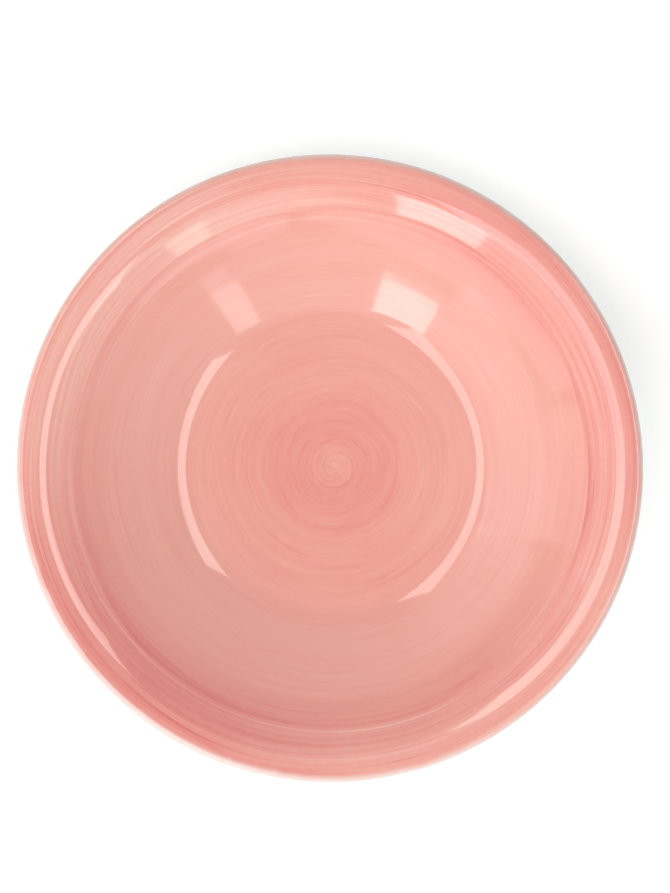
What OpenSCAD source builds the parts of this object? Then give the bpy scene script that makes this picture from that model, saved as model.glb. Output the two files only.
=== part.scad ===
// Soup plate: a round stoneware dish with a flat eating floor, a tight bend that
// eases into a flaring wall, a shoulder line and a rim that rolls over to a
// full-round lip.
// Millimetres, +Z up. The origin is the middle of the plane that the foot stands on.
//
// The section is a chain of arcs, each tangent to the next, from the middle of the
// floor over the lip to the foot. The clay and its glaze coats are turned from the
// same arcs, so they follow each other whatever the sizes are.

/* [Plate] */
// Overall diameter, lip to lip
plate_d = 220; // [200:1:250]
// Diameter of the eating floor, inside the bend
floor_d = 101; // [90:1:112]
// Width of the bend at the floor's edge, seen from above
bend_w = 4; // [3:0.5:6]
// Width over which the bend eases into the wall, seen from above
ease_w = 4; // [3:0.5:8]
// Width of the shoulder between wall and rim, seen from above
shoulder_w = 2.5; // [1.5:0.5:4]
// Width of the rim from the shoulder to the outer edge
rim_w = 17.5; // [15.5:0.5:22]
// Width of the sloping band of the rim, before it rolls over
rim_band_w = 6.4; // [4:0.2:8.6]

/* [Slopes in degrees] */
// Slope of the floor where it meets the bend
floor_slope = 4; // [2:0.5:7]
// Slope at the end of the bend, where the easing starts
bend_slope = 19; // [15:1:23]
// Slope of the wall where it starts
wall_low_slope = 30; // [26:1:34]
// Slope of the wall where it meets the shoulder
wall_high_slope = 40; // [38.5:0.5:44]
// Slope of the rim where it leaves the shoulder
rim_low_slope = 34.5; // [33.5:0.5:38]
// Slope of the rim where it starts to roll over
rim_high_slope = 31.5; // [27:0.5:33]
// Slope left at the end of the roll, where the lip's half circle starts
lip_slope = 3; // [0:0.5:6]
// How far past the lip's crown the painted glaze runs
paint_turn = 20; // [1:1:45]

/* [Thickness] */
// Wall and rim from glaze to glaze, which is also the thickness of the round lip
wall_t = 5.1; // [4:0.1:6.4]
// Floor at its middle, from glaze to glaze
floor_t = 5.5; // [4.5:0.1:8]
// Each glaze coat
glaze_t = 0.4; // [0.2:0.05:0.6]
// Clearance between a glaze coat and the clay under it
coat_gap = 0.05; // [0.02:0.01:0.08]

/* [Foot ring] */
// How far out from the start of the wall the foot ring's outer face lies
foot_step = 1; // [0.5:0.25:3]
// Width of the foot ring, from glaze to glaze
foot_w = 5.5; // [4.5:0.1:8]
// Height of the foot ring, which is the depth of the recess inside it
foot_h = 3.5; // [3.2:0.1:6]
// Height of the bare clay left along the standing edge
bare_h = 1.4; // [1.2:0.1:1.8]
// Rounding of the standing edge
foot_edge_r = 1; // [0.5:0.1:1.2]
// Cove between the foot ring's outer face and the wall
foot_cove_r = 3.5; // [2:0.1:5]
// Cove between the foot ring's inner face and the base
recess_cove_r = 1.5; // [0.8:0.1:1.9]

/* [Hidden] */
$fn = 180;

CLAY = "#D8C6AE";
PAINTED = "#F0A698";
IVORY = "#F1E7D6";

// How far a straight run may lie inside the curve that it stands for
curve_gap = 0.01;

plate_r = plate_d / 2;
floor_r = floor_d / 2;
rim_r = plate_r - rim_w;
lip_r = wall_t / 2;
wall_start_r = floor_r + bend_w + ease_w;
foot_out_r = wall_start_r + foot_step;
foot_in_r = foot_out_r - foot_w;
clay_depth = glaze_t + coat_gap;
clay_out_r = foot_out_r - clay_depth;
clay_in_r = foot_in_r + clay_depth;

// An arc is [centre, radius, first slope, last slope]. The radius is positive where
// the line curves upwards on its way out, and negative where it curves down.
function slope_way(slope) = [sin(slope), -cos(slope)];

// The arc that leaves start at one slope and has another where it reaches end_r
function arc_from(start, slope, end_r, end_slope) =
    let (radius = (end_r - start[0]) / (sin(end_slope) - sin(slope)))
    [start - radius * slope_way(slope), radius, slope, end_slope];

// A point of an arc, or at a depth square below it
function arc_point(arc, slope, depth = 0) =
    arc[0] + (arc[1] + depth) * slope_way(slope);

function arc_end(arc, depth = 0) = arc_point(arc, arc[3], depth);

// The same curve between other slopes
function arc_part(arc, slope, end_slope) = [arc[0], arc[1], slope, end_slope];

// The points of an arc at a depth, without its first
function arc_run(arc, depth) =
    let (
        turn = arc[3] - arc[2],
        steps = ceil(abs(turn) / (2 * acos(1 - curve_gap / abs(arc[1]))))
    )
    [for (i = [1:steps]) arc_point(arc, arc[2] + turn * i / steps, depth)];

function reversed(points) = [for (i = [len(points) - 1:-1:0]) points[i]];

// The top surface, from the middle outwards
middle = [0, foot_h + floor_t];
floor_arc = arc_from(middle, 0, floor_r, floor_slope);
bend_arc = arc_from(arc_end(floor_arc), floor_slope, floor_r + bend_w, bend_slope);
ease_arc = arc_from(arc_end(bend_arc), bend_slope, wall_start_r, wall_low_slope);
wall_arc = arc_from(arc_end(ease_arc), wall_low_slope, rim_r - shoulder_w, wall_high_slope);
shoulder_arc = arc_from(arc_end(wall_arc), wall_high_slope, rim_r, rim_low_slope);
rim_arc = arc_from(arc_end(shoulder_arc), rim_low_slope, rim_r + rim_band_w, rim_high_slope);
roll_end_r = plate_r - lip_r * (1 + sin(lip_slope));
roll_arc = arc_from(arc_end(rim_arc), rim_high_slope, roll_end_r, lip_slope);

// The lip is a half circle, painted as far as a line just past its crown
lip_c = arc_end(roll_arc) + lip_r * slope_way(lip_slope);
lip_front_arc = [lip_c, -lip_r, lip_slope, -paint_turn];
lip_back_arc = [lip_c, -lip_r, -paint_turn, lip_slope - 180];

// The cove touches the foot ring's outer face and the underside of the wall
cove_span = wall_arc[1] + wall_t + foot_cove_r;
cove_slope = asin((foot_out_r + foot_cove_r - wall_arc[0][0]) / cove_span);
cove_c = wall_arc[0] + cove_span * slope_way(cove_slope);
cove_arc = [cove_c, -foot_cove_r, cove_slope, 90];

// The recess inside the foot ring has a cove of its own
recess_c = [foot_in_r - recess_cove_r, foot_h - recess_cove_r];
recess_arc = [recess_c, -recess_cove_r, -90, 0];

// Each line below runs on the glaze where cover is 0, on the glaze's far face where
// cover is its thickness, and on the clay where cover is clay_depth.

// From the middle of the floor to the line where the painted glaze ends
front_arcs = [
    floor_arc, bend_arc, ease_arc, wall_arc, shoulder_arc, rim_arc, roll_arc, lip_front_arc
];
function front_line(cover) =
    concat([middle - [0, cover]], [for (arc = front_arcs) each arc_run(arc, cover)]);

// From there over the lip's edge, down the back and round the foot ring's cove
under_arcs = [
    arc_part(roll_arc, lip_slope, rim_high_slope),
    arc_part(rim_arc, rim_high_slope, rim_low_slope),
    arc_part(shoulder_arc, rim_low_slope, wall_high_slope),
    arc_part(wall_arc, wall_high_slope, cove_slope)
];
function back_line(cover) = concat(
    [arc_end(lip_front_arc, cover)],
    arc_run(lip_back_arc, cover),
    [for (arc = under_arcs) each arc_run(arc, wall_t - cover)],
    arc_run(cove_arc, -cover)
);

// From the foot ring's inner face to the middle of the base
function base_line(cover) = concat(
    [[foot_in_r + cover, recess_c[1]]],
    arc_run(recess_arc, -cover),
    [[0, foot_h + cover]]
);

// Round the standing edge of the foot ring, on the clay
standing_line = concat(
    [[clay_out_r, foot_edge_r]],
    arc_run([[clay_out_r - foot_edge_r, foot_edge_r], foot_edge_r, 90, 0], 0),
    [[clay_in_r + foot_edge_r, 0]],
    arc_run([[clay_in_r + foot_edge_r, foot_edge_r], foot_edge_r, 0, -90], 0)
);

// The back line starts where the front line ends, so a whole outline skips one of them
function without_last(points) = [for (i = [0:len(points) - 2]) points[i]];

// The fired clay, bare only along the standing edge
module stoneware_body() {
    color(CLAY) rotate_extrude() polygon(concat(
        without_last(front_line(clay_depth)),
        back_line(clay_depth),
        standing_line,
        base_line(clay_depth)
    ));
}

// The brushed colour glaze: the whole inside, and over the crown of the lip
module painted_glaze() {
    color(PAINTED) rotate_extrude()
        polygon(concat(front_line(0), reversed(front_line(glaze_t))));
}

// The plain glaze outside: the lip's edge, the back, and down the foot ring
module outer_glaze() {
    color(IVORY) rotate_extrude() polygon(concat(
        back_line(0),
        [[foot_out_r, bare_h], [foot_out_r - glaze_t, bare_h]],
        reversed(back_line(glaze_t))
    ));
}

// The plain glaze under the base, inside the foot ring
module base_glaze() {
    color(IVORY) rotate_extrude() polygon(concat(
        [[foot_in_r, bare_h]],
        base_line(0),
        reversed(base_line(glaze_t)),
        [[foot_in_r + glaze_t, bare_h]]
    ));
}

stoneware_body();
painted_glaze();
outer_glaze();
base_glaze();
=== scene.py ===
"""Looks of the soup plate: brushed pink glaze inside, plain ivory glaze outside.

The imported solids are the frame. The three glaze coats are replaced by finer turned
pieces with the slight relief of the real glaze; the clay body stays as it is.
"""

import math

import bpy
import numpy as np
from mathutils import Matrix, Vector


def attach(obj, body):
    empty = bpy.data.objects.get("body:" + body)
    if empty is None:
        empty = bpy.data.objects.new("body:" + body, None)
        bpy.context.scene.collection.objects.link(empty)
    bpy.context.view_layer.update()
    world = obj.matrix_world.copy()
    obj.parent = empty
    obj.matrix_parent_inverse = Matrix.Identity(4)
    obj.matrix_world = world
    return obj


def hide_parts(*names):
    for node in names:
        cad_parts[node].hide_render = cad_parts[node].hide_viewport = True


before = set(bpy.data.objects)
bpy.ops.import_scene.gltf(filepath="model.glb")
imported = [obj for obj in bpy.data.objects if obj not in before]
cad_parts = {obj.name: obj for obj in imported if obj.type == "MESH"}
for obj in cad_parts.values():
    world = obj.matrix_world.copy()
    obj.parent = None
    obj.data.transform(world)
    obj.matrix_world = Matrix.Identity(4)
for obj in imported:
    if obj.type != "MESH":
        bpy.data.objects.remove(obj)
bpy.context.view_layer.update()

MM = 0.001

# The section's sizes are those of the solids, in millimetres and degrees
PLATE_R = 110.0
FLOOR_R = 50.5
BEND_W = 4.0
EASE_W = 4.0
SHOULDER_W = 2.5
RIM_W = 17.5
RIM_BAND_W = 6.4
FLOOR_SLOPE = 4.0
BEND_SLOPE = 19.0
WALL_LOW_SLOPE = 30.0
WALL_HIGH_SLOPE = 40.0
RIM_LOW_SLOPE = 34.5
RIM_HIGH_SLOPE = 31.5
LIP_SLOPE = 3.0
PAINT_TURN = 20.0
WALL_T = 5.1
FLOOR_T = 5.5
GLAZE_T = 0.4
FOOT_STEP = 1.0
FOOT_W = 5.5
FOOT_H = 3.5
BARE_H = 1.4
FOOT_COVE_R = 3.5
RECESS_COVE_R = 1.5

WALL_START_R = FLOOR_R + BEND_W + EASE_W
RIM_R = PLATE_R - RIM_W
LIP_R = WALL_T / 2
FOOT_OUT_R = WALL_START_R + FOOT_STEP
FOOT_IN_R = FOOT_OUT_R - FOOT_W

# How far the floor settles below its arc, and the radius and width of the rise back to it
BEND_DIP = 0.17
BEND_DIP_R = 51.5
BEND_DIP_W = 5.5

# How far the roll and the lip's crown settle below their arcs, and the radii it grows between
ROLL_DIP = 0.15
ROLL_DIP_START_R = 98.0
ROLL_DIP_END_R = 105.5

# Segments round the turned pieces
SEGMENTS = 600


# The section


def slope_way(slope):
    a = np.radians(slope)
    return np.array([np.sin(a), -np.cos(a)])


def arc_from(start, slope, end_r, end_slope):
    """The arc (centre, radius, slopes) from start to end_r that turns to end_slope."""
    bend = math.sin(math.radians(end_slope)) - math.sin(math.radians(slope))
    radius = (end_r - start[0]) / bend
    return start - radius * slope_way(slope), radius, slope, end_slope


def arc_point(arc, slope, depth=0.0):
    return arc[0] + (arc[1] + depth) * slope_way(slope)


def arc_run(arc, depth, step):
    """Points and outward slopes along an arc, without its first."""
    centre, radius, first, last = arc
    turn = math.radians(abs(last - first))
    count = max(2, math.ceil(abs(radius + depth) * turn / step), math.ceil(turn / math.radians(3)))
    slopes = np.linspace(first, last, count + 1)[1:]
    return [(*arc_point(arc, s, depth), s) for s in slopes]


def top_arcs():
    """The top surface from the middle of the floor to the start of the lip."""
    stations = [
        (FLOOR_R, FLOOR_SLOPE),
        (FLOOR_R + BEND_W, BEND_SLOPE),
        (WALL_START_R, WALL_LOW_SLOPE),
        (RIM_R - SHOULDER_W, WALL_HIGH_SLOPE),
        (RIM_R, RIM_LOW_SLOPE),
        (RIM_R + RIM_BAND_W, RIM_HIGH_SLOPE),
        (PLATE_R - LIP_R * (1 + math.sin(math.radians(LIP_SLOPE))), LIP_SLOPE),
    ]
    here, slope, arcs = np.array([0.0, FOOT_H + FLOOR_T]), 0.0, []
    for end_r, end_slope in stations:
        arcs.append(arc_from(here, slope, end_r, end_slope))
        here, slope = arc_point(arcs[-1], end_slope), end_slope
    return arcs


ARCS = top_arcs()
LIP_C = arc_point(ARCS[-1], LIP_SLOPE) + LIP_R * slope_way(LIP_SLOPE)
LIP_FRONT = (LIP_C, -LIP_R, LIP_SLOPE, -PAINT_TURN)
LIP_BACK = (LIP_C, -LIP_R, -PAINT_TURN, LIP_SLOPE - 180)


def run(arcs, depth, step):
    return [p for arc in arcs for p in arc_run(arc, depth, step)]


def front_line(depth, step):
    """Middle of the floor to the painted edge: (r, z, slope) rows."""
    return [(0.0, FOOT_H + FLOOR_T - depth, 0.0)] + run(ARCS + [LIP_FRONT], depth, step)


def back_line(depth, step):
    """Painted edge over the lip, down the back and round the foot ring's cove."""
    wall = ARCS[3]
    span = wall[1] + WALL_T + FOOT_COVE_R
    cove_slope = math.degrees(math.asin((FOOT_OUT_R + FOOT_COVE_R - wall[0][0]) / span))
    cove = (wall[0] + span * slope_way(cove_slope), -FOOT_COVE_R, cove_slope, 90)
    under = [(a[0], a[1], a[3], a[2]) for a in reversed(ARCS[4:])]
    under.append((wall[0], wall[1], wall[3], cove_slope))
    line = [(*arc_point(LIP_BACK, -PAINT_TURN, depth), -PAINT_TURN)]
    line += run([LIP_BACK], depth, step)
    line += [(r, z, s - 180) for r, z, s in run(under, WALL_T - depth, step)]
    line += [(r, z, s - 180) for r, z, s in run([cove], -depth, step)]
    return line + [(FOOT_OUT_R - depth, BARE_H, -90.0)]


def base_line(depth, step):
    """Foot ring's inner face to the middle of the base."""
    centre = np.array([FOOT_IN_R - RECESS_COVE_R, FOOT_H - RECESS_COVE_R])
    line = [(FOOT_IN_R + depth, BARE_H, 90.0), (FOOT_IN_R + depth, centre[1], 90.0)]
    line += [(r, z, s + 180) for r, z, s in run([(centre, -RECESS_COVE_R, -90, 0)], -depth, step)]
    return line + [(r, FOOT_H + depth, 180.0) for r in np.linspace(centre[0], 0, 24)[1:]]


# Relief and turning


def waves(rng, turns, reach, size):
    """A smooth random function of angle and radius that repeats round the plate."""
    terms = []
    for k in turns:
        terms.append((k, rng.uniform(0, 2 * math.pi), reach / rng.uniform(0.6, 1.6), rng.normal()))
    total = math.sqrt(sum(t[3] ** 2 for t in terms)) or 1.0

    def value(angle, radius):
        return size * sum(
            a * np.cos(k * angle + phase + 2 * math.pi * radius / length)
            for k, phase, length, a in terms
        ) / total

    return value


def eased(value, low, high):
    t = np.clip((value - low) / (high - low), 0.0, 1.0)
    return t * t * (3 - 2 * t)


def throwing_relief():
    """The real surface's lift off the section in mm, by angle, radius and slope.

    It is below zero, but for a few spots outside of less than 0.01 mm. It drifts a little
    round the plate and has the turner's rings, stronger outside. The bend is also a touch
    tighter and the roll of the rim a touch flatter than their arcs."""
    rng = np.random.default_rng(7)
    drift = waves(rng, (1, 2, 2, 3, 4), 160.0, 0.05)
    rings = waves(rng, (-2, -1, 0, 0, 1, 2, 3), 7.0, 0.003)
    back_rings = waves(rng, (-2, -1, 0, 0, 1, 2, 3), 6.0, 0.02)

    def uneven(angle, radius, slope):
        outside = 1 - eased(slope, -150.0, -95.0)
        return drift(angle, radius) + rings(angle, radius) + outside * back_rings(angle, radius)

    # The highest spot of the unevenness lies on the section, give or take 0.005 mm
    angles = np.linspace(0, 2 * math.pi, 240)
    most = max(float(np.max(uneven(angles, r, s))) for r in range(0, 111, 2) for s in (0, -180))

    def value(angle, radius, slope):
        inside = slope > -PAINT_TURN - 1
        rise = np.clip((radius - BEND_DIP_R) / BEND_DIP_W, 0.0, 1.0)
        floor = BEND_DIP * (1 - rise) * inside
        over_lip = eased(slope, -80.0, -PAINT_TURN)
        crown = ROLL_DIP * eased(radius, ROLL_DIP_START_R, ROLL_DIP_END_R) * over_lip
        return uneven(angle, radius, slope) - most - floor - crown

    return value


def turned(name, outer, inner, relief=None):
    """A solid of revolution between a shown line and the line under it, joined at their ends.

    Rows are (r, z, slope) in mm. relief is the shown line's lift along its normal."""
    angles = np.linspace(0, 2 * math.pi, SEGMENTS, endpoint=False)
    rings = []
    for r, z, slope in outer:
        lift = np.zeros(SEGMENTS)
        if relief is not None:
            lift = relief(angles, r, slope)
        normal = -slope_way(slope)
        rings.append((r + lift * normal[0], z + lift * normal[1]))
    for r, z, _ in reversed(inner):
        rings.append((np.full(SEGMENTS, r), np.full(SEGMENTS, z)))

    verts, starts = [], []
    for r, z in rings:
        starts.append(len(verts))
        if np.max(np.abs(r)) < 1e-6:
            verts.append((0.0, 0.0, float(np.mean(z)) * MM))
        else:
            ring = np.stack([r * np.cos(angles), r * np.sin(angles), z], axis=1) * MM
            verts += [tuple(v) for v in ring]
    counts = [b - a for a, b in zip(starts, starts[1:] + [len(verts)])]

    faces = []
    loop = range(len(rings)) if counts[0] > 1 else range(len(rings) - 1)
    for i in loop:
        j = (i + 1) % len(rings)
        a, b = starts[i], starts[j]
        for k in range(SEGMENTS):
            n = (k + 1) % SEGMENTS
            if counts[i] == 1 and counts[j] == 1:
                break
            if counts[i] == 1:
                faces.append((a, b + k, b + n))
            elif counts[j] == 1:
                faces.append((a + n, a + k, b))
            else:
                faces.append((a + k, b + k, b + n, a + n))
    mesh = bpy.data.meshes.new(name)
    mesh.from_pydata(verts, [], faces)
    mesh.validate()
    mesh.polygons.foreach_set("use_smooth", [True] * len(mesh.polygons))
    mesh.update()
    piece = bpy.data.objects.new(name, mesh)
    bpy.context.scene.collection.objects.link(piece)
    return piece


# Materials

GLAZE_IOR = 1.60

# Within about this radius the brush's marks stop narrowing towards the middle
CALM_R = 8.0

# The brush's spiral: its middle, and its radius straight up from there; it doubles each turn
SPIRAL_AT = (0.85, -0.25)
SPIRAL_R = 2.6


def srgb(red, green, blue):
    """A colour as a screen shows it, from 0 to 255, as linear light."""
    out = []
    for value in (red, green, blue):
        v = value / 255
        out.append(v / 12.92 if v <= 0.04045 else ((v + 0.055) / 1.055) ** 2.4)
    return (*out, 1.0)


class Shader:
    """Short names for the nodes that the materials below are made of."""

    def __init__(self, name):
        self.material = bpy.data.materials.new(name)
        self.material.use_nodes = True
        self.tree = self.material.node_tree
        self.surface = next(n for n in self.tree.nodes if n.type == "BSDF_PRINCIPLED")

    def add(self, kind, **settings):
        node = self.tree.nodes.new(kind)
        for key, value in settings.items():
            setattr(node, key, value)
        return node

    def feed(self, socket, value):
        if isinstance(value, bpy.types.NodeSocket):
            self.tree.links.new(value, socket)
        else:
            socket.default_value = value

    def math(self, operation, *values):
        node = self.add("ShaderNodeMath", operation=operation)
        for socket, value in zip(node.inputs, values):
            self.feed(socket, value)
        return node.outputs[0]

    def sum(self, *values):
        total = values[0]
        for value in values[1:]:
            total = self.math("ADD", total, value)
        return total

    def rest(self, value):
        """1 - value"""
        return self.math("SUBTRACT", 1.0, value)

    def scaled(self, value, factor):
        """(value - 0.5) * factor"""
        return self.math("MULTIPLY_ADD", value, factor, -0.5 * factor)

    def smooth(self, value, low, high):
        """0 below low, 1 above high, and a smooth step between."""
        node = self.add("ShaderNodeMapRange", interpolation_type="SMOOTHSTEP")
        for key, entry in (("Value", value), ("From Min", low), ("From Max", high)):
            self.feed(node.inputs[key], entry)
        return node.outputs["Result"]

    def between(self, value, start, full, wane, end):
        """0 below start, 1 from full to wane, and 0 above end."""
        return self.math("MULTIPLY", self.smooth(value, start, full),
                         self.rest(self.smooth(value, wane, end)))

    def ramp(self, value, stops, interpolation="LINEAR"):
        node = self.add("ShaderNodeValToRGB")
        node.color_ramp.interpolation = interpolation
        elements = node.color_ramp.elements
        while len(elements) < len(stops):
            elements.new(0.5)
        for element, (place, colour) in zip(elements, stops):
            element.position = place
            element.color = colour
        self.feed(node.inputs["Fac"], value)
        return node.outputs["Color"]

    def mix(self, factor, first, second):
        node = self.add("ShaderNodeMix", data_type="RGBA")
        self.feed(node.inputs[0], factor)
        self.feed(node.inputs[6], first)
        self.feed(node.inputs[7], second)
        return node.outputs[2]

    def noise(self, vector, scale, detail, rough=0.5):
        node = self.add("ShaderNodeTexNoise", noise_dimensions="3D")
        self.feed(node.inputs["Vector"], vector)
        node.inputs["Scale"].default_value = scale
        node.inputs["Detail"].default_value = detail
        node.inputs["Roughness"].default_value = rough
        return node.outputs["Fac"]

    def place(self):
        """Sets the distance from the axis and the height in mm, and the way outwards."""
        coords = self.add("ShaderNodeTexCoord").outputs["Object"]
        split = self.add("ShaderNodeSeparateXYZ")
        self.feed(split.inputs[0], coords)
        x, y, z = split.outputs
        metres = self.math("SQRT", self.math("MULTIPLY_ADD", x, x, self.math("MULTIPLY", y, y)))
        safe = self.math("SQRT", self.math("MULTIPLY_ADD", metres, metres, (CALM_R * MM) ** 2))
        self.coords = coords
        self.radius = self.math("MULTIPLY", metres, 1 / MM)
        self.height = self.math("MULTIPLY", z, 1 / MM)
        self.way_x = self.math("DIVIDE", x, safe)
        self.way_y = self.math("DIVIDE", y, safe)
        self.spiral_x = self.math("MULTIPLY_ADD", x, 1 / MM, -SPIRAL_AT[0])
        self.spiral_y = self.math("MULTIPLY_ADD", y, 1 / MM, -SPIRAL_AT[1])

    def streaks(self, radius, width, round_scale, shift, detail=2.0, rough=0.5):
        """Noise drawn out round the plate: width in mm, round_scale in marks per radian."""
        node = self.add("ShaderNodeCombineXYZ")
        self.feed(node.inputs[0], self.math("MULTIPLY", self.way_x, round_scale))
        self.feed(node.inputs[1], self.math("MULTIPLY", self.way_y, round_scale))
        self.feed(node.inputs[2], self.math("MULTIPLY_ADD", radius, 1 / width, shift))
        return self.noise(node.outputs[0], 1.0, detail, rough)

    def lines(self, radius, width, round_scale, shift, half):
        """Thin lines round the plate, where a drawn-out noise crosses its middle."""
        value = self.streaks(radius, width, round_scale, shift, 1.0)
        off = self.math("ABSOLUTE", self.math("SUBTRACT", value, 0.5))
        return self.rest(self.smooth(off, 0.0, half))

    def ring(self, middle, half):
        """1 on a circle of the plate, 0 half a width away from it."""
        off = self.math("ABSOLUTE", self.math("SUBTRACT", self.radius, middle))
        return self.rest(self.smooth(off, 0.0, half))

    def side(self, azimuth, low, high):
        """1 on the side of the plate at an azimuth, 0 away from it: cosines of the angle off."""
        a = math.radians(azimuth)
        lean = self.math("MULTIPLY_ADD", self.way_y, math.sin(a),
                         self.math("MULTIPLY", self.way_x, math.cos(a)))
        return self.smooth(lean, low, high)

    def bump(self, height, distance, below=None):
        node = self.add("ShaderNodeBump")
        node.inputs["Strength"].default_value = 1.0
        node.inputs["Distance"].default_value = distance
        self.feed(node.inputs["Height"], height)
        if below is not None:
            self.feed(node.inputs["Normal"], below)
        return node.outputs["Normal"]

    def set(self, key, value):
        self.feed(self.surface.inputs[key], value)


def ivory_over(s):
    """The plain glaze: warm ivory with a few fine iron specks, and a blush of pink on the lip."""
    cloud = s.noise(s.coords, 38.0, 3.0)
    colour = s.ramp(cloud, [(0.3, srgb(238, 224, 208)), (0.7, srgb(246, 235, 222))])
    blush = s.math("MULTIPLY", s.smooth(s.height, LIP_C[1] - 3.0, LIP_C[1] - 0.5), 0.6)
    colour = s.mix(blush, colour, srgb(232, 202, 200))
    specks = s.noise(s.coords, 900.0, 1.0)
    return s.mix(s.smooth(specks, 0.77, 0.83), colour, srgb(208, 178, 156))


def painted_share(s):
    """1 on the painted side of the lip's brushed edge, 0 past it."""
    turn = s.math("ARCTAN2", s.math("SUBTRACT", s.radius, LIP_C[0]),
                  s.math("SUBTRACT", s.height, LIP_C[1]))
    degrees = s.math("MULTIPLY", turn, 180 / math.pi)
    ragged = s.streaks(s.radius, 30.0, 9.0, 51.0, 3.0, 0.6)
    short = s.math("MULTIPLY", s.side(232, 0.1, 1.05), 42.0)
    edge = s.sum(degrees, s.scaled(ragged, 50.0), short)
    on_lip = s.smooth(edge, 8.0, 84.0)
    return s.rest(s.math("MULTIPLY", on_lip, s.smooth(s.radius, 100.0, 106.0)))


def by_radius(s, stops):
    """A value that follows the distance from the axis: (mm, value) stops."""
    places = [(mm / PLATE_R, (v, v, v, 1.0)) for mm, v in stops]
    return s.ramp(s.math("DIVIDE", s.radius, PLATE_R), places, "EASE")


def spiral(s):
    """The dark line of the brush's spiral in the floor's middle, and the pale one inside it on its
    crest, which is partly a painted highlight.
    """
    x, y = s.spiral_x, s.spiral_y
    reach = s.math("SQRT", s.math("MULTIPLY_ADD", x, x, s.math("MULTIPLY", y, y)))
    reach = s.math("MAXIMUM", reach, 0.2)
    turns = s.math("DIVIDE", s.math("ARCTAN2", y, x), 2 * math.pi)
    doublings = s.math("LOGARITHM", s.math("DIVIDE", reach, SPIRAL_R), 2.0)
    phase = s.math("FRACT", s.sum(doublings, turns, 0.25))
    off = s.math("MULTIPLY", s.math("SUBTRACT", phase, 0.5), reach)
    off = s.math("MULTIPLY", off, math.log(2))
    fade = s.between(reach, 1.4, 4.5, 9.0, 15.0)
    beside = s.math("ABSOLUTE", off)
    s.groove = s.math("MULTIPLY", s.rest(s.smooth(beside, 0.05, 0.55)), fade)
    inside = s.math("ABSOLUTE", s.math("ADD", off, 0.75))
    s.crest = s.math("MULTIPLY", s.rest(s.smooth(inside, 0.05, 0.6)), fade)

    # A small dab of thinner colour beside the spiral's middle
    dab_x = s.math("ADD", x, 0.75)
    dab_y = s.math("SUBTRACT", y, 0.7)
    dab = s.math("SQRT", s.math("MULTIPLY_ADD", dab_x, dab_x, s.math("MULTIPLY", dab_y, dab_y)))
    s.dab = s.rest(s.smooth(dab, 0.2, 1.3))


def brush_marks(s):
    """The brush's streaks and the spiral that it leaves in the middle of the floor."""
    wander = s.streaks(s.radius, 60.0, 1.0, 3.0, 1.0)
    radius = s.math("ADD", s.radius, s.scaled(wander, 4.0))
    s.broad = s.streaks(radius, 9.0, 0.7, 11.0, 2.0)
    s.middle = s.streaks(radius, 2.2, 0.75, 37.0, 3.0, 0.6)
    s.fine = s.streaks(radius, 0.8, 1.3, 71.0, 2.0, 0.6)
    s.patches = s.streaks(radius, 22.0, 1.6, 5.0, 2.0)
    come_and_go = s.smooth(s.streaks(radius, 6.0, 1.5, 91.0, 1.0), 0.42, 0.62)
    s.dark_hairs = s.math("MULTIPLY", s.lines(radius, 2.6, 0.6, 113.0, 0.035), come_and_go)
    s.pale_hairs = s.math("MULTIPLY", s.lines(radius, 2.3, 0.6, 131.0, 0.035), come_and_go)
    spiral(s)


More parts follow.
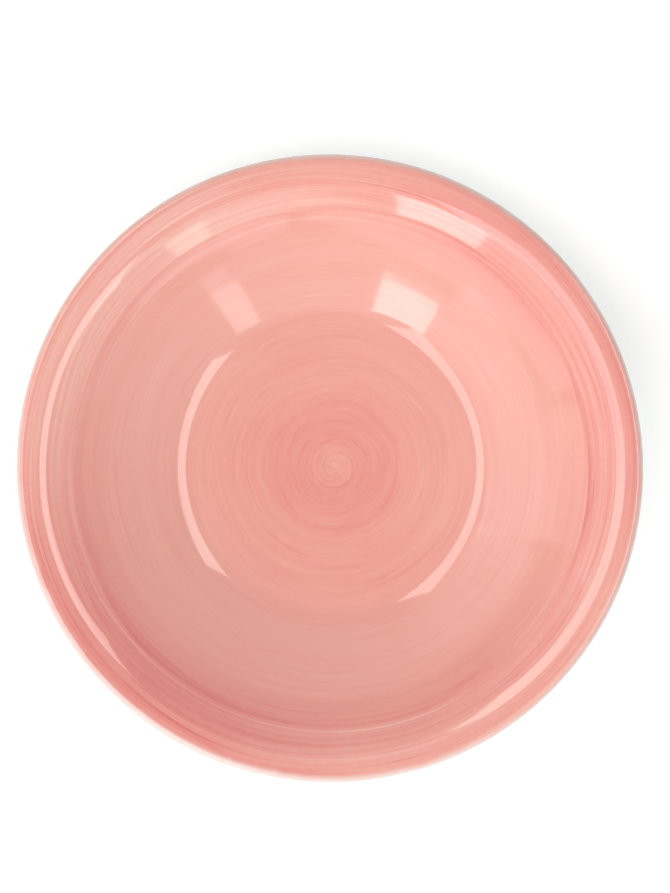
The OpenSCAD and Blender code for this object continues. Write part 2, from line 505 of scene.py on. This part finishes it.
def pink_colour(s):
    """The brushed colour, from thin and beige to thick and rosy, with painted light and shade on
    some sides of the plate.
    """
    body = by_radius(s, [
        (0, 0.46), (5, 0.47), (9, 0.55), (22, 0.55), (28, 0.46), (50, 0.42), (62, 0.33),
        (80, 0.34), (88, 0.38), (92, 0.43), (102, 0.40), (105, 0.44), (106.8, 0.50),
        (107.8, 0.38), (110, 0.20),
    ])
    strength = by_radius(s, [(0, 0.45), (45, 0.42), (60, 0.28), (84, 0.28), (92, 0.9), (110, 0.9)])
    marks = s.sum(s.scaled(s.broad, 0.40), s.scaled(s.middle, 0.50), s.scaled(s.fine, 0.40),
                  s.scaled(s.patches, 0.22), s.scaled(s.noise(s.coords, 480.0, 3.0), 0.14))
    marks = s.math("MULTIPLY_ADD", s.dark_hairs, 0.16, marks)
    marks = s.math("MULTIPLY_ADD", s.pale_hairs, -0.14, marks)
    thick = s.math("MULTIPLY_ADD", marks, strength, body)
    # Darker in the spiral's groove, paler on its crest (partly a painted highlight), paler in the
    # dab
    for mark, amount in ((s.groove, 0.09), (s.crest, -0.05), (s.dab, -0.12)):
        thick = s.math("MULTIPLY_ADD", mark, amount, thick)

    rim = s.smooth(s.radius, 84.0, 94.0)
    edge = s.between(s.radius, 103.0, 105.0, 106.0, 107.5)
    band = s.between(s.radius, 90.6, 91.8, 97.0, 101.0)
    outer_wall = s.between(s.radius, 78.0, 84.0, 89.0, 92.0)
    crease_lit_side = s.side(252, 0.58, 0.80)
    crease_glaze_and_highlight = s.ring(92.7, 0.5)
    beside = s.ring(90.9, 0.8)

    # Where the colour is made thicker (darker and rosier), on which side of the plate, and by how
    # much;
    # below zero it is thinner and paler. Partly the brush's uneven colour, partly painted light
    # and shade
    places = [
        # Darker on the lower left, where the rim lies in shade: partly painted shade
        (rim, s.side(222, 0.55, 1.0), 0.17),
        (edge, s.side(25, 0.5, 0.95), 0.06),
        (edge, s.side(355, 0.7, 1.0), -0.14),
        (s.ring(84.0, 12.0), s.side(328, 0.75, 0.97), 0.07),
        (edge, s.side(145, 0.3, 0.9), -0.12),
        (s.ring(101.3, 3.0), s.side(42, 0.7, 0.97), 0.19),
        # Paler on the upper left, where the rim band reflects the bright side: painted reflection
        (band, s.side(150, 0.28, 0.88), -0.20),
        (rim, s.side(25, 0.6, 0.95), 0.12),
        # Darker on the lower left, where the wall lies in shade: partly painted shade
        (outer_wall, s.side(250, -0.2, 0.8), 0.07),
        # Paler under the left rim's arc of light: painted highlight
        (s.ring(100.6, 1.4), s.side(188, 0.6, 1.0), -0.15),
        # The pale crease line and the darker one beside it, on the lower side only: glaze thinner
        # over the edge and pooled beside it, with painted highlight and shade where the light
        # shows them
        (crease_glaze_and_highlight, crease_lit_side, -0.24),
        (beside, crease_lit_side, 0.13),
        (s.ring(103.6, 3.6), s.side(150, 0.7, 0.97), -0.15),
        (outer_wall, s.side(50, 0.8, 0.98), 0.06),
        (band, s.side(328, 0.6, 0.95), 0.10),
    ]
    for where, side, amount in places:
        thick = s.math("MULTIPLY_ADD", s.math("MULTIPLY", where, side), amount, thick)
    return s.ramp(thick, [
        (0.10, srgb(246, 197, 183)), (0.38, srgb(239, 171, 157)), (0.56, srgb(235, 155, 145)),
        (0.80, srgb(224, 130, 123)), (1.00, srgb(207, 106, 102)),
    ])


def brushed_pink():
    s = Shader("brushed_pink_glaze")
    s.place()
    brush_marks(s)
    s.set("Base Color", s.mix(painted_share(s), ivory_over(s), pink_colour(s)))
    uneven = s.noise(s.coords, 300.0, 2.0)
    s.set("Roughness", s.math("MULTIPLY_ADD", uneven, 0.04, 0.06))
    ridges = s.bump(s.middle, 0.002 * MM)
    ridges = s.bump(s.fine, 0.0006 * MM, ridges)
    ridges = s.bump(s.crest, 0.005 * MM, ridges)
    s.set("Normal", ridges)
    s.surface.inputs["IOR"].default_value = GLAZE_IOR
    return s.material


def plain_ivory():
    s = Shader("ivory_glaze")
    s.place()
    brush_marks(s)
    upper = s.smooth(s.height, LIP_C[1] - 1.0, LIP_C[1])
    share = s.math("MULTIPLY", painted_share(s), upper)
    s.set("Base Color", s.mix(share, ivory_over(s), pink_colour(s)))
    uneven = s.noise(s.coords, 260.0, 2.0)
    s.set("Roughness", s.math("MULTIPLY_ADD", uneven, 0.05, 0.09))
    rings = s.streaks(s.radius, 3.0, 1.6, 19.0, 3.0)
    pits = s.noise(s.coords, 420.0, 2.0)
    s.set("Normal", s.bump(pits, 0.003 * MM, s.bump(rings, 0.008 * MM)))
    s.surface.inputs["IOR"].default_value = GLAZE_IOR
    return s.material


def bare_clay():
    s = Shader("fired_clay")
    s.place()
    grain = s.noise(s.coords, 1400.0, 4.0, 0.7)
    cloud = s.noise(s.coords, 70.0, 3.0)
    colour = s.ramp(cloud, [(0.3, srgb(206, 184, 156)), (0.7, srgb(222, 202, 176))])
    colour = s.mix(s.smooth(grain, 0.62, 0.75), colour, srgb(150, 112, 82))
    s.set("Base Color", colour)
    s.set("Roughness", s.math("MULTIPLY_ADD", grain, 0.15, 0.72))
    s.set("Normal", s.bump(grain, 0.05 * MM))
    return s.material


# The plate


PINK = brushed_pink()
WHITE = plain_ivory()
RELIEF = throwing_relief()

painted = turned("painted_glaze_brushed", front_line(0, 0.9), front_line(GLAZE_T, 12.0), RELIEF)
painted.data.materials.append(PINK)
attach(painted, "root")
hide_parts("painted_glaze")

outer = turned("outer_glaze_turned", back_line(0, 1.2), back_line(GLAZE_T, 12.0), RELIEF)
outer.data.materials.append(WHITE)
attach(outer, "root")
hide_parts("outer_glaze")

base = turned("base_glaze_turned", base_line(0, 0.4), base_line(GLAZE_T, 2.0))
base.data.materials.append(WHITE)
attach(base, "root")
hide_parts("base_glaze")

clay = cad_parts["stoneware_body"]
clay.data.materials.clear()
clay.data.materials.append(bare_clay())


# The studio

# The strength of the even light all round, and of the white that only the camera sees
FILL_STRENGTH = 0.30
BACKDROP_STRENGTH = 1.0


def lamp(name, inner, outer_edge, along, radiance):
    """A soft box between two parallel edges, given by the middles of the edges in metres.

    along is the half length of the edges as a vector. radiance 1 shows as white."""
    inner, outer_edge, along = Vector(inner), Vector(outer_edge), Vector(along)
    middle = (inner + outer_edge) / 2
    across = outer_edge - inner
    normal = along.cross(across).normalized()
    if normal.dot(middle) < 0:
        normal.negate()
    data = bpy.data.lights.new(name, "AREA")
    data.shape = "RECTANGLE"
    data.size = 2 * along.length
    data.size_y = across.length
    data.energy = radiance * data.size * data.size_y * math.pi
    light = bpy.data.objects.new(name, data)
    x = along.normalized()
    y = normal.cross(x)
    turn = Matrix((x, y, normal)).transposed().to_4x4()
    light.matrix_world = Matrix.Translation(middle) @ turn
    light.visible_camera = False
    bpy.context.scene.collection.objects.link(light)


def sky_point(azimuth, polar, distance):
    a, p = math.radians(azimuth), math.radians(polar)
    return Vector((math.sin(p) * math.cos(a), math.sin(p) * math.sin(a), math.cos(p))) * distance


def side_lamp(name, azimuth, width, low, high, distance, radiance):
    """A soft box seen between two angles from the zenith, and width degrees wide."""
    middle = math.radians((low + high) / 2)
    half = distance * math.sin(middle) * math.radians(width) / 2
    a = math.radians(azimuth)
    along = Vector((-math.sin(a), math.cos(a), 0)) * half
    lamp(name, sky_point(azimuth, low, distance), sky_point(azimuth, high, distance),
         along, radiance)


# The two long strips make the arcs in the bend and the rim
lamp("strip_left", (-0.300, -0.085, 0.900), (-0.4485, -0.085, 0.585), (0, 0.565, 0), 3.2)
lamp("strip_right", (0.415, -0.065, 0.900), (0.589, -0.065, 0.693), (0, 0.545, 0), 3.55)

# The keys make the bright squares, and the screens and low lamps light the rest. After the
# name: azimuth, width, low and high edge from the zenith in degrees, metres, radiance
side_lamp("key_near", 242.4, 18.6, 54, 64.2, 1.7, 4.8)
side_lamp("key_far", 296.4, 9, 54, 63.5, 1.7, 2.45)
side_lamp("key_far_wing", 296.9, 7.5, 63.8, 67, 1.7, 0.8)
side_lamp("screen_left", 197.5, 82, 45, 68, 1.6, 0.80)
side_lamp("screen_front", 265, 60, 45, 70, 1.6, 0.29)
side_lamp("low_near", 235, 80, 69, 87, 1.6, 1.02)
side_lamp("low_far", 300, 50, 69, 87, 1.6, 1.05)
side_lamp("low_left", 180, 30, 69, 87, 1.6, 0.65)
side_lamp("low_left_end", 150, 31, 69, 87, 1.6, 0.25)

# The left screen fades out in steps, so that the wall shows no edge of it
for step in range(4):
    side_lamp(f"screen_left_end_{step}", 156.5 - 11 * step, 11.2, 45, 68, 1.6, 0.15 * (4 - step))

world = bpy.data.worlds.new("studio")
bpy.context.scene.world = world
world.use_nodes = True
tree = world.node_tree
tree.nodes.clear()
fill = tree.nodes.new("ShaderNodeBackground")
fill.inputs["Color"].default_value = (1, 1, 1, 1)
fill.inputs["Strength"].default_value = FILL_STRENGTH
seen = tree.nodes.new("ShaderNodeBackground")
seen.inputs["Color"].default_value = (1, 1, 1, 1)
seen.inputs["Strength"].default_value = BACKDROP_STRENGTH
path = tree.nodes.new("ShaderNodeLightPath")
choice = tree.nodes.new("ShaderNodeMixShader")
target = tree.nodes.new("ShaderNodeOutputWorld")
tree.links.new(path.outputs["Is Camera Ray"], choice.inputs[0])
tree.links.new(fill.outputs[0], choice.inputs[1])
tree.links.new(seen.outputs[0], choice.inputs[2])
tree.links.new(choice.outputs[0], target.inputs["Surface"])


def pale_floor():
    """A white table that keeps a faint grey shadow, its glow raised by painted light away from the
    plate and on its right. It is clear from below, to show the base.
    """
    half = 3.0
    corners = [(-half, -half, 0), (half, -half, 0), (half, half, 0), (-half, half, 0)]
    mesh = bpy.data.meshes.new("table")
    mesh.from_pydata(corners, [], [(0, 1, 2, 3)])
    piece = bpy.data.objects.new("table", mesh)
    bpy.context.scene.collection.objects.link(piece)
    s = Shader("table_white")
    s.place()
    s.surface.inputs["Base Color"].default_value = (0.9, 0.9, 0.9, 1)
    s.surface.inputs["Roughness"].default_value = 0.9
    s.surface.inputs["Specular IOR Level"].default_value = 0.1
    path = s.add("ShaderNodeLightPath")
    camera_ray = path.outputs["Is Camera Ray"]
    shown = s.math("MAXIMUM", path.outputs["Is Glossy Ray"], path.outputs["Is Transmission Ray"])
    shown = s.math("MAXIMUM", camera_ray, shown)
    # Painted light: the table glows more away from the plate and on its right, which keeps the
    # plate's shadow short and fades it on the right; far off it is an even white
    away = s.smooth(s.radius, 111.0, 126.0)
    far = s.smooth(s.radius, 250.0, 700.0)
    right_side_painted_light = s.side(340, 0.7, 0.97)
    lift = s.sum(0.260, s.math("MULTIPLY", away, 0.075), s.math("MULTIPLY", far, 0.42),
                 s.math("MULTIPLY", right_side_painted_light, 0.07))
    # The warm light that the plate throws on the table is greyed for the camera alone
    near_colour = s.mix(camera_ray, (1, 1, 1, 1), (0.84, 0.97, 1.0, 1))
    s.set("Emission Color", s.mix(away, near_colour, (1, 1, 1, 1)))
    s.set("Emission Strength", s.math("MULTIPLY", shown, lift))
    below = s.math("MULTIPLY", camera_ray, s.add("ShaderNodeNewGeometry").outputs["Backfacing"])
    clear = s.add("ShaderNodeBsdfTransparent")
    choice = s.add("ShaderNodeMixShader")
    s.feed(choice.inputs[0], below)
    s.feed(choice.inputs[1], s.surface.outputs[0])
    s.feed(choice.inputs[2], clear.outputs[0])
    target = next(n for n in s.tree.nodes if n.type == "OUTPUT_MATERIAL")
    s.feed(target.inputs["Surface"], choice.outputs[0])
    mesh.materials.append(s.material)
    return piece


pale_floor()


# The camera

PHOTO_W = 670
PHOTO_H = 893

# Where the photograph shows the plate's axis at the height of the lip's middle, in pixels. The
# middle of the outline is at (330, 467.6): to a near camera that leans, the two differ
PLATE_AT = (327.5, 469.1)
PIXELS_PER_MM = 2.857
CAMERA_DISTANCE = 0.870
SENSOR_W = 36.0

# How far the camera stands off the vertical, towards +X and towards +Y, in degrees
LEAN_X = 3.6
LEAN_Y = 1.1

back = Vector((math.sin(math.radians(LEAN_X)), math.sin(math.radians(LEAN_Y)), 1)).normalized()
right = Vector((0, 1, 0)).cross(back).normalized()
up = back.cross(right)
aim = Vector((0, 0, LIP_C[1] * MM))
aim += right * (PHOTO_W / 2 - PLATE_AT[0]) / PIXELS_PER_MM * MM
aim += up * (PLATE_AT[1] - PHOTO_H / 2) / PIXELS_PER_MM * MM

lens = bpy.data.cameras.new("camera")
lens.sensor_fit = "AUTO"
lens.sensor_width = SENSOR_W
lens.lens = PIXELS_PER_MM / MM * CAMERA_DISTANCE / PHOTO_H * SENSOR_W
lens.clip_start = 0.01
camera = bpy.data.objects.new("camera", lens)
turn = Matrix((right, up, back)).transposed().to_4x4()
camera.matrix_world = Matrix.Translation(aim + back * CAMERA_DISTANCE) @ turn
bpy.context.scene.collection.objects.link(camera)
bpy.context.scene.camera = camera
bpy.context.scene.view_settings.view_transform = "Standard"
